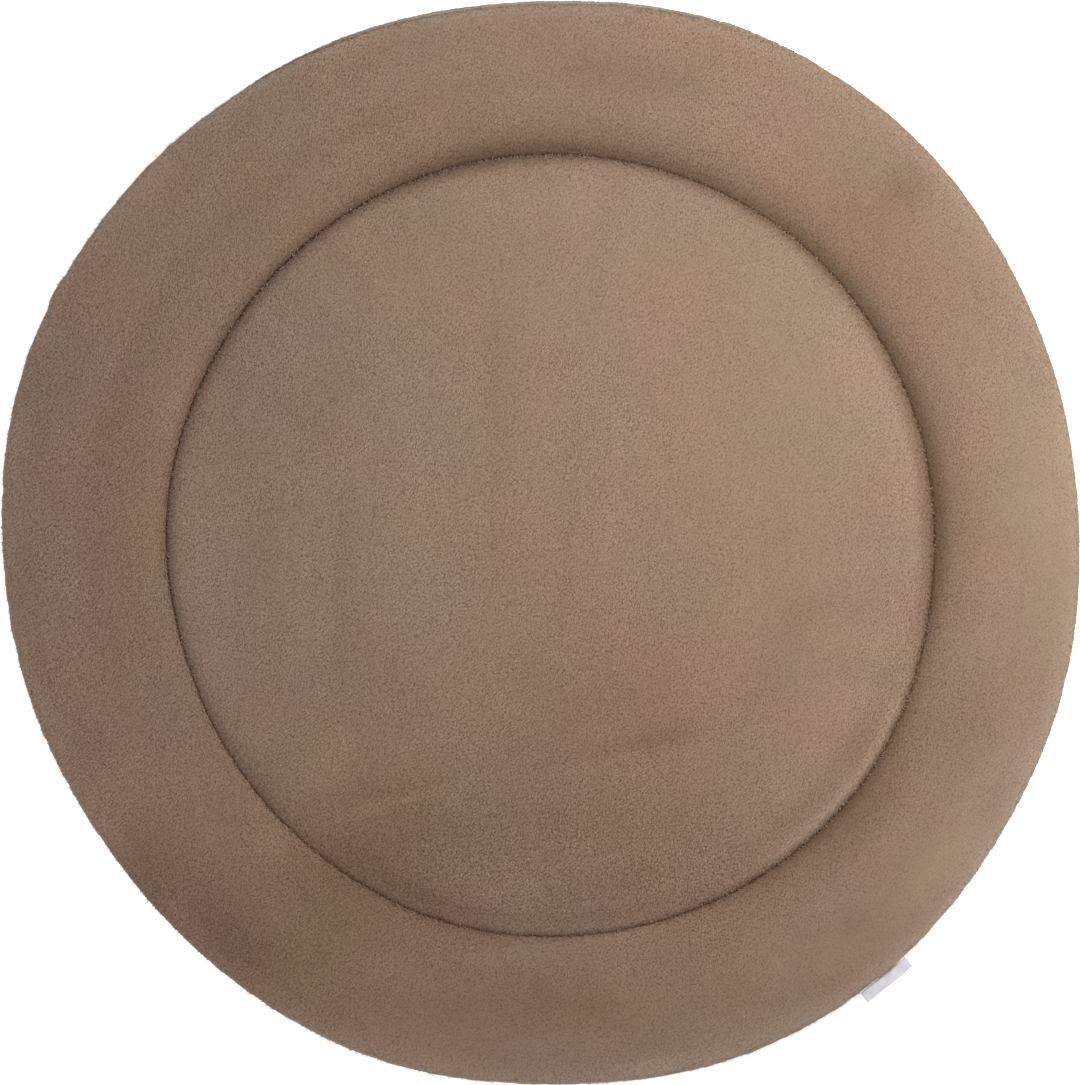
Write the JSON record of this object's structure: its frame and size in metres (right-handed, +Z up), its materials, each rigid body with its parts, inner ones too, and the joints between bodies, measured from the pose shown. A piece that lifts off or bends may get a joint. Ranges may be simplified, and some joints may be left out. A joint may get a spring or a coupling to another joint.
{
  "type": "padded play mat",
  "caption": "Round padded play mat in short plush, with a sewn circle between the crowned middle and the outer ring, a back panel and a bare side tab.",
  "frame": {"origin": "on the floor, under the middle of the mat's outline", "axes": "+Z up out of the plush face; +Y to the top and +X to the right of the mat seen from above, with the side tab at lower right"},
  "size_m": [0.8932, 0.8978, 0.022],
  "materials": {
    "plush_face": "short warm taupe plush, soft and matt",
    "backing_cloth": "brushed grey-brown cloth, matt",
    "woven_tape": "pale woven satin tape, faint sheen"
  },
  "bodies": {
    "root": {"filled_pad": "plush_face", "back_panel": "backing_cloth", "side_tab": "woven_tape"}
  },
  "joints": []
}
